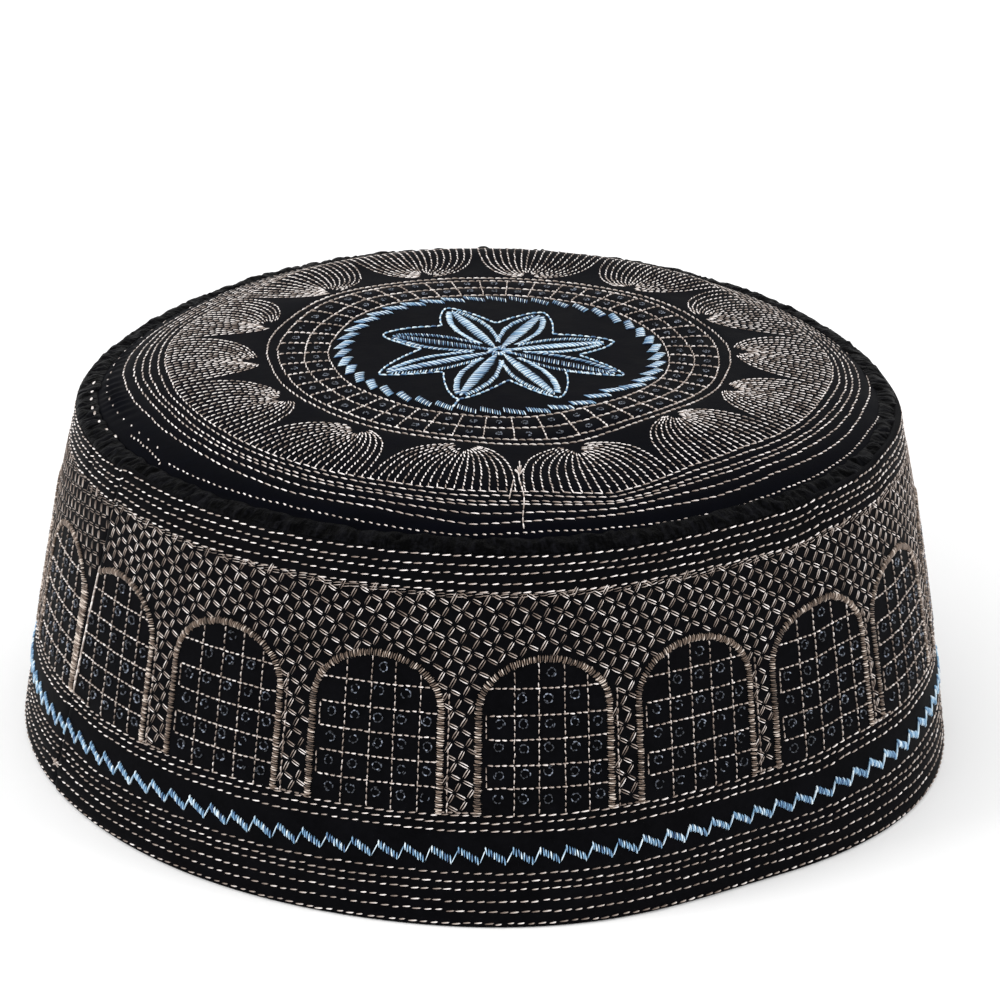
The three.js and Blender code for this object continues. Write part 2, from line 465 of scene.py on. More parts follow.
quilt_rows = np.array(CROWN_LINES)
upper_rows = np.concatenate((np.arange(0, 33, 3.0), np.arange(46.5, 64, 2.5), quilt_rows))
upper_rows = np.concatenate((upper_rows, quilt_rows - 0.5, quilt_rows + 0.5, (35.8, 40.6, 70.9, 73.6)))
upper_skin = [(reach, 0.0) for reach in np.sort(upper_rows)]
edge_fold = [(76.6, 0.15), (76.9, 0.7), (76.9, 1.4), (76.4, CLOTH)]
under_skin = [(reach, CLOTH) for reach in (72, 66, 58, 48, 36, 24, 12, 0)]
crown_section = np.array(upper_skin + edge_fold + under_skin)
crown_turns = (
    np.linspace(0, CRIMP_FROM[0], 116),
    np.linspace(CRIMP_FROM[0], CRIMP_TO[1], 153)[1:],
    np.linspace(CRIMP_TO[1], 360, 130)[1:],
)
crown = swept_cloth(
    "crown_cloth",
    np.concatenate(crown_turns),
    crown_section,
    lambda turn, spot: crown_point(turn, spot[:, 0], spot[:, 1]),
    lambda turn, spot, row: np.stack(crown_spot(turn, spot[:, 0]), -1),
)
crown_satin = satin_finish("crown_satin", (0.0004, 0.0004, 0.0009, 1), (0.0014, 0.0017, 0.0036, 1))
crown.data.materials.append(crown_satin)
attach(crown, "root")
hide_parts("crown")


# Crown seam. The raw edges of crown and band are sewn together inside, and the black cloth over
# them is eased in, so it shows as a low soft roll nipped all along by short creases.
SEAM_RADIUS = 78.8
SEAM_HEIGHT = 68.75
SEAM_HALF_WIDTH = 2.3
SEAM_HALF_HEIGHT = 0.8
SEAM_TILT = math.radians(15)
SEAM_ROLLS = (0, 20, 45, 70, 95, 120, 145, 165, 180, 270, 360.0)
SEAM_BEARING_MM = 1.368
SEAM_ROLL_MM = 0.03
NIP_STEP = 1.5
NIP_DEPTH = 0.9
NIP_SPREAD = 0.3
NIP_REACH = 0.5
PUFF_COUNTS = (17, 31, 47, 67, 89, 113)
PUFF_SLANTS = (2, -3, 4, -2, 3, -4)
PUFF_HEIGHT = 0.12
PUFF_WIDTH = 0.035
chance = np.random.default_rng(5)
nip_count = int(2 * math.pi * SEAM_RADIUS / NIP_STEP)
nip_bearing = np.arange(nip_count) * 360 / nip_count + chance.uniform(-0.8, 0.8, nip_count)
nip_depth = chance.uniform(0.2, 1.0, nip_count)
nip_slant = chance.uniform(-1.0, 1.0, nip_count)
nip_middle = chance.uniform(-0.8, 0.8, nip_count)
puffs = chance.uniform(0, 2 * math.pi, len(PUFF_COUNTS))


def seam_point(turn, roll):
    """A point of the seam's roll. The roll angle starts outside and turns over the top."""
    across = np.cos(np.radians(roll))
    over = np.sin(np.radians(roll))
    nipped = 0
    for at, depth, slant, middle in zip(nip_bearing, nip_depth, nip_slant, nip_middle):
        away = degrees_apart(turn, at + slant * across)
        nipped = np.maximum(nipped, depth * bell(away, NIP_SPREAD) * bell(across - middle, NIP_REACH))
    swell = 0
    for count, phase, slant in zip(PUFF_COUNTS, puffs, PUFF_SLANTS):
        swell = swell + np.sin(np.radians(count * turn) + phase + slant * across)
    out = SEAM_HALF_WIDTH * across * (1 + PUFF_WIDTH * swell * (across < 0))
    plump = 1 - NIP_DEPTH * nipped + PUFF_HEIGHT * swell
    lift = SEAM_HALF_HEIGHT * over * np.where(over > 0, plump, 1)
    radius = SEAM_RADIUS + out * math.cos(SEAM_TILT) + lift * math.sin(SEAM_TILT)
    return placed(turn, radius, SEAM_HEIGHT - out * math.sin(SEAM_TILT) + lift * math.cos(SEAM_TILT))


crown_seam = swept_cloth(
    "crown_seam_roll",
    np.linspace(0, 360, 1801),
    np.array(SEAM_ROLLS)[:, None],
    lambda turn, spot: seam_point(turn, spot[:, 0]),
    lambda turn, spot, row: np.stack((turn * SEAM_BEARING_MM, spot[:, 0] * SEAM_ROLL_MM), -1),
)
seam_finish, start = new_finish("gathered_black")
place = start.node("ShaderNodeUVMap", {"uv_map": "weave"}, {})
drawn = start.node("ShaderNodeVectorMath", {"operation": "MULTIPLY"}, {0: place, 1: (1, 0.3, 1)})
fuzz = start.node("ShaderNodeTexNoise", {}, {"Vector": place, "Scale": 1500.0, "Detail": 5.0})
pleat = start.node("ShaderNodeTexNoise", {}, {"Vector": drawn, "Scale": 700.0, "Detail": 3.0})
# The colour is lighter on the raised pleats and darker between them, painted light and painted shade, with
# fine fuzz.
shade = (pleat - 0.5) * 3 + (fuzz - 0.5) * 2 + 0.2
colour_with_painted_light = mixed(shade, (0.0001, 0.0001, 0.0002, 1), (0.0045, 0.0045, 0.006, 1))
relief = pleat * 3 + fuzz
bump = start.node("ShaderNodeBump", {}, {"Strength": 0.9, "Distance": 0.00025, "Height": relief})
sockets = {"Base Color": colour_with_painted_light, "Roughness": 0.34 + fuzz * 0.2, "Normal": bump}
sockets.update({"Specular IOR Level": 0.02, "Sheen Weight": 0.001, "Sheen Roughness": 0.5})
surfaced(start, sockets)
crown_seam.data.materials.append(seam_finish)
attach(crown_seam, "root")
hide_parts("crown_seam")


# Running lines of the band. Machine-sewn rounds of cream twisted thread quilt the rim, the foot of
# the arches and the shoulder. Each stitch rises from the cloth, lies on it and dives back, so one
# stitch is modelled and copied to every place.
STITCH_PITCH = 1.95
STITCH_LENGTH = 1.6
MEAN_SLOPE = 0.17
STITCH_SLANT = 0.09
# Running stitches below this level are drawn darker by this much.
RIM_DARKENING = 0.12
RIM_DARKER_BELOW = 12
TILES = 8
CREAM_SHADES = (
    (0.0, (0.035, 0.022, 0.016, 1)),
    (0.3, (0.148, 0.106, 0.083, 1)),
    (0.62, (0.405, 0.333, 0.29, 1)),
    (1.0, (0.97, 0.905, 0.875, 1)),
)


def pick(piece, wanted):
    """In edit mode, selects the vertices whose place passes the test."""
    shape = bmesh.from_edit_mesh(piece.data)
    shape.select_mode = {"VERT"}
    for vertex in shape.verts:
        vertex.select_set(wanted(vertex.co))
    shape.select_flush_mode()
    bmesh.update_edit_mesh(piece.data)


bpy.ops.object.select_all(action="DESELECT")
bpy.ops.mesh.primitive_cylinder_add(
    vertices=4, radius=math.sqrt(0.5), depth=0.66, end_fill_type="TRIFAN", rotation=(0, math.pi / 2, 0)
)
bpy.ops.object.transform_apply(rotation=True)
one_stitch = bpy.context.object
bpy.ops.object.mode_set(mode="EDIT")
bpy.ops.mesh.select_all(action="SELECT")
bpy.ops.transform.rotate(value=math.pi / 4, orient_axis="X", center_override=(0, 0, 0))
bpy.ops.mesh.bisect(plane_co=(0, 0, 0), plane_no=(1, 0, 0))
pick(one_stitch, lambda co: co.z > 0.3)
bpy.ops.transform.resize(value=(1, 0.6, 1), center_override=(0, 0, 0))
pick(one_stitch, lambda co: co.z > 0.3 and abs(co.x) < 0.1)
bpy.ops.transform.translate(value=(0, 0, 0.16))
pick(one_stitch, lambda co: co.x < -0.3)
bpy.ops.transform.resize(value=(1, 0.72, 0.85), center_override=(0, 0, -0.5))
pick(one_stitch, lambda co: abs(co.x) > 0.3 and abs(co.y) < 0.1 and abs(co.z) < 0.1)
bpy.ops.transform.resize(value=(0.5 / 0.33, 1, 1), center_override=(0, 0, 0))
bpy.ops.transform.translate(value=(0, 0, -0.2))
bpy.ops.mesh.select_all(action="SELECT")
bpy.ops.transform.translate(value=(0, 0, 0.3))
bpy.ops.mesh.normals_make_consistent(inside=False)
bpy.ops.object.mode_set(mode="OBJECT")
stitch_points = np.array([vertex.co for vertex in one_stitch.data.vertices])
stitch_corners = np.array([loop.vertex_index for loop in one_stitch.data.loops])
stitch_faces = np.array([face.loop_start for face in one_stitch.data.polygons])
bpy.data.objects.remove(one_stitch)


def thread_finish(name, shades, roughness):
    """Twisted thread with a painted highlight towards its end and painted shade at its sides. The map's
    tile row sets the tone, its column a chance.
    """
    finish, start = new_finish(name)
    place = start.node("ShaderNodeUVMap", {"uv_map": "OFBake"}, {})
    spread = start.node("ShaderNodeVectorMath", {"operation": "SCALE"}, {"Vector": place, "Scale": TILES})
    tile = start.node("ShaderNodeVectorMath", {"operation": "FLOOR"}, {0: spread})
    within = start.node("ShaderNodeVectorMath", {"operation": "FRACTION"}, {0: spread})
    along = start.node("ShaderNodeSeparateXYZ", {}, {"Vector": within}, "X")
    across = start.node("ShaderNodeSeparateXYZ", {}, {"Vector": within}, "Y")
    tone = start.node("ShaderNodeSeparateXYZ", {}, {"Vector": tile}, "Y") / (TILES - 1)
    variant = start.node("ShaderNodeTexWhiteNoise", {"noise_dimensions": "2D"}, {"Vector": tile})
    ply = ((along * 4 + across) * (2 * math.pi)).math("SINE")
    fibre = start.node("ShaderNodeTexNoise", {}, {"Vector": place, "Scale": 260.0, "Detail": 2.0})
    # Painted light: each stitch is paler towards its end, a painted highlight, and darker along its sides,
    # painted shade; a small chance term varies it.
    painted_light_and_variant = (along - 0.45) * 0.5 + (variant - 0.5) * 0.16 - (across - 0.5) ** 2 * 1.1
    shade = tone * 0.85 + painted_light_and_variant + ply * 0.05 + (fibre - 0.5) * 0.2 + 0.12
    colour_with_painted_light = start.node("ShaderNodeValToRGB", {"stops": shades}, {"Fac": shade})
    bump = start.node(
        "ShaderNodeBump", {}, {"Strength": 0.5, "Distance": 0.00005, "Height": ply + fibre}
    )
    sockets = {"Base Color": colour_with_painted_light, "Roughness": roughness + (fibre - 0.5) * 0.2, "Normal": bump}
    sockets.update({"Specular IOR Level": 0.4, "Sheen Weight": 0.1, "Sheen Roughness": 0.4})
    surfaced(start, sockets)
    return finish


def sew(name, finish, slot, starts, ends, normals, width, height, tone, bow=0.0):
    """Copies the stitch between each start and end, as one joined piece, bowed to its left."""
    count = len(starts)
    along = ends - starts
    across = np.cross(normals, along)
    across = across / np.linalg.norm(across, axis=1)[:, None]
    lift = np.cross(along, across)
    lift = lift / np.linalg.norm(lift, axis=1)[:, None]
    bulge = across * (np.broadcast_to(bow, count) * MM)[:, None]
    across = across * (np.broadcast_to(width, count) * MM)[:, None]
    lift = lift * (np.broadcast_to(height, count) * MM)[:, None]
    axes = np.stack((along, across, lift), 1)
    points = ((starts + ends) / 2)[:, None] + np.einsum("va,sac->svc", stitch_points, axes)
    points = points + (1 - 4 * stitch_points[:, 0] ** 2)[:, None] * bulge[:, None]
    number = np.arange(count)[:, None]
    mesh = bpy.data.meshes.new(name)
    mesh.vertices.add(points.shape[0] * points.shape[1])
    mesh.vertices.foreach_set("co", points.astype(np.float32).ravel())
    mesh.loops.add(count * len(stitch_corners))
    corners = stitch_corners + number * len(stitch_points)
    mesh.loops.foreach_set("vertex_index", corners.astype(np.int32).ravel())
    mesh.polygons.add(count * len(stitch_faces))
    faces = stitch_faces + number * len(stitch_corners)
    mesh.polygons.foreach_set("loop_start", faces.astype(np.int32).ravel())
    mesh.polygons.foreach_set("use_smooth", np.ones(faces.size, dtype=bool))
    column = np.random.default_rng(count).integers(0, TILES, count)
    row = np.rint(np.clip(np.broadcast_to(tone, count), 0, 1) * (TILES - 1))
    tiles = np.stack((column, row), -1)[:, None]
    within = 0.5 + stitch_points[stitch_corners, :2] * 0.9
    mesh.uv_layers.new(name="OFBake")
    mesh.uv_layers[0].data.foreach_set("uv", ((tiles + within) / TILES).astype(np.float32).ravel())
    mesh.update(calc_edges=True)
    piece = bpy.data.objects.new(name, mesh)
    scene.collection.objects.link(piece)
    piece.data.materials.append(finish)
    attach(piece, "root")


def unit(vectors):
    return vectors / np.linalg.norm(vectors, axis=-1)[:, None]


def sew_on_band(name, finish, slot, starts, ends, width, height, tone, bow=0.0):
    """Sews stitches given as bearing and height, leaving out those lost in the join."""
    middle = (starts + ends) / 2
    past_join = degrees_apart(middle[:, 0], join_bearing(middle[:, 1]))
    seen = (past_join < -0.2) | (past_join > 0.15)
    starts, ends, middle = starts[seen], ends[seen], middle[seen]
    looks = [np.broadcast_to(value, len(seen))[seen] for value in (width, height, tone, bow)]
    bearing, level = middle.T
    side = band_point(bearing + 0.2, level) - band_point(bearing - 0.2, level)
    rise = band_point(bearing, level + 1.2) - band_point(bearing, level - 1.2)
    normals = unit(np.cross(side, rise))
    sew(name, finish, slot, band_point(*starts.T), band_point(*ends.T), normals, *looks)


cream_thread = thread_finish("cream_thread", CREAM_SHADES, 0.5)
chance = np.random.default_rng(21)
line_starts = []
line_ends = []
for line in BAND_LINES:
    girth = 2 * math.pi * (RIM_RADIUS - MEAN_SLOPE * line)
    count = round(girth / STITCH_PITCH)
    step = 360 / count
    at = np.arange(count) * step + chance.uniform(0, step) + chance.normal(0, 0.05, count)
    reach = step * STITCH_LENGTH / STITCH_PITCH * chance.uniform(0.75, 1.1, count)
    wander = 0.1 * np.sin(np.radians(at * 9 + line * 50)) + chance.normal(0, 0.08, count)
    line_starts.append(np.stack((at - reach / 2, line + wander - STITCH_SLANT), -1))
    line_ends.append(np.stack((at + reach / 2, line + wander + STITCH_SLANT), -1))
line_starts = np.concatenate(line_starts)
line_ends = np.concatenate(line_ends)
sew_on_band(
    "band_running_lines",
    cream_thread,
    "cream_thread",
    line_starts,
    line_ends,
    width=0.28,
    height=0.26,
    tone=chance.uniform(0.35, 1.0, len(line_starts)) - RIM_DARKENING * (line_starts[:, 1] < RIM_DARKER_BELOW),
)


# Lattice. Links of cream thread, each two strands side by side, cross on the slant and fill the
# shoulder and the columns between the arches with lozenges. They were sewn on a flat curved strip,
# so their slant turns along the band, and a chain of links closes their upper edge.
ARCH_COUNT = 18
ARCH_FIRST = 7.3
ARCH_HALF_WIDTH = 11.85
ARCH_SPRING = 40.4
ARCH_RISE = 9.25
ARCH_FOOT = 21.1
ARCH_BORDER = 1.35
# How far the arches stand off even places: bearing, shift in degrees
ARCH_SHIFTS = ((7.3, 0), (27.3, -0.7), (47.3, -1.6), (67.3, -3.5), (187.3, 0), (287.3, 3.1), (307.3, 0))
LINK_DOWN = np.array((2.30, -1.17))
LINK_UP = np.array((1.341, 2.34))
LINK_LENGTH = 0.74
# Tones of the down links, the up links and the edge chain: the down links lighter and the up links darker,
# painted light as it falls on each slant.
LINK_PAINTED_LIGHT_TONES = (0.5, 0.36, 0.3)
LINK_WIDTHS = (0.21, 0.19, 0.15)
STRAND_ASIDE = 0.16
STRAND_BOW = 0.08
STEPS_DOWN = np.arange(-90, 150)
STEPS_UP = np.arange(-45, 160)
LATTICE_FROM = np.array((9.05 * BEARING_MM, 55.1)) - LINK_DOWN / 2
LATTICE_EDGE = 61.0
# Arc of the flat strip: radius at its middle level, that level, flat turn for a degree of bearing
CONE_REACH = 485.0
CONE_LEVEL = 45.0
CONE_SHARE = 0.1765
EDGE_LINK = 1.8
JOIN_SHADE = 0.3
JOIN_SHADE_REACH = 70

arch_bearings = ARCH_FIRST + np.arange(ARCH_COUNT) * 360 / ARCH_COUNT
arch_bearings = arch_bearings + np.interp(arch_bearings, *zip(*ARCH_SHIFTS))
arch_middles = arch_bearings * BEARING_MM


def from_arch(along):
    """Distance from the middle of the nearest arch, along the band."""
    away = degrees_apart(np.asarray(along)[..., None] / BEARING_MM, arch_bearings)
    nearest = np.abs(away).argmin(-1)[..., None]
    return np.take_along_axis(away, nearest, -1)[..., 0] * BEARING_MM


def inside_arch(along, level, margin):
    """Whether a place lies within the arch's middle line, widened by a margin."""
    aside = np.abs(from_arch(along))
    half = ARCH_HALF_WIDTH + margin
    over = np.maximum(level - ARCH_SPRING, 0)
    return (aside / half) ** 2 + (over / (ARCH_RISE + margin)) ** 2 < 1


def to_bearing(places):
    """Turns millimetres along the band into bearings."""
    return places / np.array((BEARING_MM, 1))


def on_cone(places):
    """Wraps flat places of the cut strip, a curved one, round the band as distance along and level."""
    across, level = places.T - np.array((0, CONE_LEVEL))[:, None]
    turn = np.degrees(np.arctan2(across, CONE_REACH - level)) / CONE_SHARE
    reach = np.hypot(across, CONE_REACH - level)
    return np.stack((turn * BEARING_MM, CONE_LEVEL + CONE_REACH - reach), -1)


chance = np.random.default_rng(33)
step_down, step_up = np.meshgrid(STEPS_DOWN, STEPS_UP)
crossings = step_down.reshape(-1, 1) * LINK_DOWN + step_up.reshape(-1, 1) * LINK_UP + LATTICE_FROM
flat_middles = np.concatenate((crossings + LINK_DOWN / 2, crossings + LINK_UP / 2))
link_sides = np.repeat((0, 1), len(crossings))
link_middles = on_cone(flat_middles)
along, level = link_middles.T
open_cloth = (level > ARCH_FOOT + 1.2) & (level < SHOULDER_LINES[0] - 0.3)
open_cloth &= ~inside_arch(along, level, 0.9)
past_join = along / BEARING_MM - join_bearing(level)
open_cloth &= (past_join > 0) & (past_join < 360)
open_cloth &= (past_join < 356.6) & (past_join > 0.8) | (level > ARCH_SPRING + 5)
half_run = np.array((LINK_DOWN, LINK_UP))[link_sides[open_cloth]] / 2
flat_middles = flat_middles[open_cloth]
edge_along = np.arange(0, 360 * BEARING_MM, EDGE_LINK)
edge_middles = np.stack((edge_along, np.full(len(edge_along), LATTICE_EDGE)), -1)
edge_run = np.tile((EDGE_LINK * 1.25, 0.3), (len(edge_along), 1))
link_middles = np.concatenate((link_middles[open_cloth], edge_middles))
link_run = np.concatenate((on_cone(flat_middles + half_run) - on_cone(flat_middles - half_run), edge_run))
link_sides = np.concatenate((link_sides[open_cloth], np.full(len(edge_along), 2)))
link_middles = link_middles + chance.normal(0, 0.09, link_middles.shape)
link_run = link_run * (LINK_LENGTH + chance.normal(0, 0.03, len(link_run)))[:, None]
link_run = link_run + chance.normal(0, 0.07, link_run.shape)
aside = unit(np.stack((-link_run[:, 1], link_run[:, 0]), -1)) * STRAND_ASIDE
link_starts = np.concatenate((link_middles - link_run / 2 + aside, link_middles - link_run / 2 - aside))
link_ends = np.concatenate((link_middles + link_run / 2 + aside, link_middles + link_run / 2 - aside))
link_bow = np.repeat((STRAND_BOW, -STRAND_BOW), len(link_sides))
link_sides = np.tile(link_sides, 2)
link_tone = np.array(LINK_PAINTED_LIGHT_TONES)[link_sides] + chance.uniform(-0.35, 0.45, len(link_sides))
before_join = degrees_apart(JOIN_AT_TOP, np.tile(link_middles[:, 0], 2) / BEARING_MM)
link_tone = link_tone - JOIN_SHADE * ((before_join > 0) & (before_join < JOIN_SHADE_REACH))
sew_on_band(
    "band_lattice",
    cream_thread,
    "cream_thread",
    to_bearing(link_starts),
    to_bearing(link_ends),
    width=np.array(LINK_WIDTHS)[link_sides],
    height=0.13,
    tone=link_tone,
    bow=link_bow,
)


# Arch borders. Eighteen tall round-headed arches stand round the band, each edged by a rib of
# brown-taupe satin stitch laid across its line. A thin sewn line runs beside the right leg and along
# the foot of the column, and a cord of longer stitches follows the band's join.
BORDER_PITCH = 0.42
BROWN_SHADES = (
    (0.0, (0.012, 0.008, 0.006, 1)),
    (0.35, (0.075, 0.048, 0.033, 1)),
    (0.7, (0.21, 0.15, 0.112, 1)),
    (1.0, (0.75, 0.65, 0.57, 1)),
)
SIDE_LINE_ASIDE = 1.4
FOOT_LINE_LENGTH = 6.6
FOOT_LINE_LIFT = 0.5
CORD_ASIDE = 0.5
CORD_RISE = 8.4


def along_path(path, pitch, share):
    """Starts and ends of stitches sewn one after another along a path."""
    steps = np.concatenate(([0], np.cumsum(np.hypot(*np.diff(path, axis=0).T))))
    count = max(1, round(steps[-1] / pitch))
    step = steps[-1] / count
    ends = []
    for side in (-share / 2, share / 2):
        at = (np.arange(count) + 0.5 + side) * step
        ends.append(np.stack([np.interp(at, steps, axis) for axis in path.T], -1))
    return ends[0], ends[1]


def turned_about(starts, ends):
    """Turns every second stitch end for end, as floss is laid to and fro."""
    turned = (np.arange(len(starts)) % 2 == 1)[:, None]
    return np.where(turned, ends, starts), np.where(turned, starts, ends)


head_turn = np.radians(np.linspace(180, 0, 61))
arch_head = (ARCH_HALF_WIDTH * np.cos(head_turn), ARCH_SPRING + ARCH_RISE * np.sin(head_turn))
arch_legs = np.array(((-ARCH_HALF_WIDTH, ARCH_FOOT), (ARCH_HALF_WIDTH, ARCH_FOOT)))
arch_path = np.concatenate((arch_legs[:1], np.stack(arch_head, -1), arch_legs[1:]))
brown_thread = thread_finish("brown_thread", BROWN_SHADES, 0.5)
chance = np.random.default_rng(44)
rib_starts = []
rib_ends = []
rib_tone = []
for middle in arch_middles:
    before, after = along_path(arch_path, BORDER_PITCH, 1)
    arch_past_join = degrees_apart(middle / BEARING_MM, join_bearing(ARCH_SPRING))
    run = unit(after - before)
    outward = np.stack((-run[:, 1], run[:, 0]), -1)
    spot = (before + after) / 2 + (middle, 0) + run * chance.normal(0, 0.06, len(run))[:, None]
    half = ARCH_BORDER / 2 * chance.uniform(0.8, 1.25, (2, len(run)))[:, :, None]
    past_join = degrees_apart(spot[:, 0] / BEARING_MM, join_bearing(spot[:, 1]))
    to_join = np.where((past_join < 0) & (past_join > -3.4), -past_join * BEARING_MM - half[1][:, 0], 0)
    to_join = np.maximum(to_join, 0) * (1 - smooth_step(spot[:, 1], ARCH_SPRING, ARCH_SPRING + 5))
    kept = (past_join < -0.6) | (past_join > 0.9)
    kept &= (past_join * arch_past_join > 0) | (np.abs(past_join) > 20)
    rib_tone.append((0.2 * smooth_step(np.linspace(0, 1, len(run)), 0.58, 0.72))[kept])
    rib_starts.append((spot - outward * half[0] - run * 0.08)[kept])
    rib_ends.append((spot + outward * (half[1] + to_join[:, None] * 0.6) + run * 0.08)[kept])
rib_starts, rib_ends = turned_about(np.concatenate(rib_starts), np.concatenate(rib_ends))
sew_on_band(
    "arch_borders",
    brown_thread,
    "cream_thread",
    to_bearing(rib_starts),
    to_bearing(rib_ends),
    width=0.26,
    height=0.45,
    tone=chance.uniform(0.1, 0.85, len(rib_starts)) + np.concatenate(rib_tone),
)

side_aside = ARCH_HALF_WIDTH + SIDE_LINE_ASIDE
side_path = np.array(((side_aside, ARCH_FOOT), (side_aside, ARCH_SPRING + 3)))
foot_level = ARCH_FOOT + FOOT_LINE_LIFT
foot_path = np.array(((ARCH_HALF_WIDTH, foot_level), (ARCH_HALF_WIDTH + FOOT_LINE_LENGTH, foot_level)))
beside_starts = []
beside_ends = []
for middle in arch_middles:
    for path in (side_path, foot_path):
        before, after = along_path(path, 1.25, 0.86)
        beside_starts.append(before + (middle, 0) + chance.normal(0, 0.06, before.shape))
        beside_ends.append(after + (middle, 0) + chance.normal(0, 0.06, before.shape))
cord_level = np.linspace(ARCH_FOOT, ARCH_SPRING + CORD_RISE, 24)
cord = np.stack((join_bearing(cord_level) + CORD_ASIDE, cord_level), -1) * (BEARING_MM, 1)
beside_starts.append(cord[:-2])
beside_ends.append(cord[2:])
beside_starts = np.concatenate(beside_starts)
beside_ends = np.concatenate(beside_ends)
beside_tone = chance.uniform(0.1, 0.6, len(beside_starts))
beside_tone[2 - len(cord):] += 0.35
sew_on_band(
    "arch_side_lines",
    cream_thread,
    "cream_thread",
    to_bearing(beside_starts),
    to_bearing(beside_ends),
    width=0.3,
    height=0.3,
    tone=beside_tone,
)


# Arch windows. Inside each arch a fine cream running stitch draws a grid of small panes. It is
# sewn as one wandering line, so pairs of rows are joined at the left.
WINDOW_UPRIGHTS = (-5.6, -1.0, 3.5, 8.0)
WINDOW_BARS = (44.2, 39.5, 35.05, 30.4, 26.2)
WINDOW_LEFT = -10.35
WINDOW_INSET = 0.6
chance = np.random.default_rng(55)
pane_paths = []
inner_half = ARCH_HALF_WIDTH - WINDOW_INSET
inner_rise = ARCH_RISE - WINDOW_INSET
for upright in WINDOW_UPRIGHTS:
    head = ARCH_SPRING + inner_rise * math.sqrt(1 - (upright / inner_half) ** 2)
    pane_paths.append(((upright, ARCH_FOOT), (upright, head)))
for bar in WINDOW_BARS:
    half = inner_half * math.sqrt(1 - (max(bar - ARCH_SPRING, 0) / inner_rise) ** 2)
    pane_paths.append(((max(-half, WINDOW_LEFT), bar), (half, bar)))
for upper, lower in (WINDOW_BARS[1:3], WINDOW_BARS[3:5]):
    pane_paths.append(((WINDOW_LEFT, upper), (WINDOW_LEFT, lower)))
pane_starts = []
pane_ends = []
pane_width = []
pane_tone = []
for middle in arch_middles:
    for path in pane_paths:
        before, after = along_path(np.array(path), 1.2, 0.82)
        drift = chance.normal(0, 0.12, 2)
        pane_starts.append(before + (middle, 0) + drift + chance.normal(0, 0.05, before.shape))
        pane_ends.append(after + (middle, 0) + drift + chance.normal(0, 0.05, before.shape))
        is_upright = path[0][0] == path[1][0]
        pane_width.append(np.full(len(before), 0.23 if is_upright else 0.31))
        pane_tone.append(chance.uniform(0.35, 0.9, len(before)) - 0.15 * is_upright)
pane_starts = np.concatenate(pane_starts)
pane_ends = np.concatenate(pane_ends)
sew_on_band(
    "arch_windows",
    cream_thread,
    "cream_thread",
    to_bearing(pane_starts),
    to_bearing(pane_ends),
    width=np.concatenate(pane_width),
    height=0.28,
    tone=np.concatenate(pane_tone),
)


# Pane rings. A small broken ring of slate-blue thread sits in each pane of the arches, sewn in
# about eight short stitches that wind inwards round the middle of the pane.
RING_RADIUS = 0.86
SLATE_SHADES = (
    (0.0, (0.006, 0.007, 0.01, 1)),
    (0.5, (0.04, 0.048, 0.066, 1)),
    (1.0, (0.3, 0.34, 0.42, 1)),
)
# Rows of rings: their level, then their places to the sides of the arch's middle
RING_ROWS = ((47.2, (1.0,)), (42.85, (-4.0, 0.65, 5.4)))
RING_ROWS += tuple((level, (-8.2, -3.9, 0.6, 5.2, 9.4)) for level in (38.0, 33.5, 29.0, 24.3))


def ring_stitches(count, radius, chance):
    """Eight short stitches winding inwards round each of many rings, some of them missing."""
    wind = np.arange(8)
    turn = wind * 50 + chance.uniform(0, 360, (count, 1)) + chance.normal(0, 6, (count, 8))
    half = chance.uniform(22, 30, (count, 8))
    size = radius * (1.08 - 0.06 * wind) * chance.uniform(0.9, 1.1, (count, 8))
    kept = chance.uniform(0, 1, (count, 8)) < 0.86
    places = []
    for side in (turn - half, turn + half):
        angle = np.radians(side)
        places.append(np.stack((size * np.cos(angle), size * np.sin(angle)), -1))
    return places[0], places[1], kept


slate_thread = thread_finish("slate_thread", SLATE_SHADES, 0.4)
chance = np.random.default_rng(66)
rings = [(middle + aside, level) for middle in arch_middles for level, row in RING_ROWS for aside in row]
rings = np.array(rings) + chance.normal(0, 0.15, (len(rings), 2))
before, after, kept = ring_stitches(len(rings), RING_RADIUS, chance)
ring_starts = (rings[:, None] + before)[kept]
ring_ends = (rings[:, None] + after)[kept]
sew_on_band(
    "arch_pane_rings",
    slate_thread,
    "blue_thread",
    to_bearing(ring_starts),
    to_bearing(ring_ends),
    width=0.26,
    height=0.3,
    tone=chance.uniform(0, 1, len(ring_starts)) ** 2.2,
    bow=-0.12,
)


# Blue saw-tooth. A border of blue floss runs round the band above the rim lines: slanting blocks
# of eight satin strands, each carried up to the next by one long strand.
TOOTH_COUNT = 118
TOOTH_FIRST = -14.7
TOOTH_STRANDS = 8
TOOTH_STEP = 0.455
TOOTH_DROP = 1.85
TOOTH_TOP = 15.5
TOOTH_FOOT = 13.85
TOOTH_LEAN = 0.14
CARRY_FROM = (3.45, 12.2)
CARRY_TO = (4.6, 15.0)
BLUE_SHADES = (
    (0.0, (0.01, 0.022, 0.06, 1)),
    (0.35, (0.045, 0.11, 0.24, 1)),
    (0.65, (0.2, 0.39, 0.58, 1)),
    (1.0, (0.8, 0.92, 0.98, 1)),
)
blue_thread = thread_finish("blue_thread", BLUE_SHADES, 0.36)
chance = np.random.default_rng(77)
tooth_at = (np.arange(TOOTH_COUNT)[:, None] * 360 / TOOTH_COUNT + TOOTH_FIRST) * BEARING_MM
strand = np.arange(TOOTH_STRANDS)
fall = TOOTH_DROP * strand / (TOOTH_STRANDS - 1)
strand_top = np.stack(np.broadcast_arrays(tooth_at + strand * TOOTH_STEP, TOOTH_TOP - fall), -1)
strand_foot = np.broadcast_arrays(tooth_at + strand * TOOTH_STEP + TOOTH_LEAN, TOOTH_FOOT - fall)
strand_foot = np.stack(strand_foot, -1)
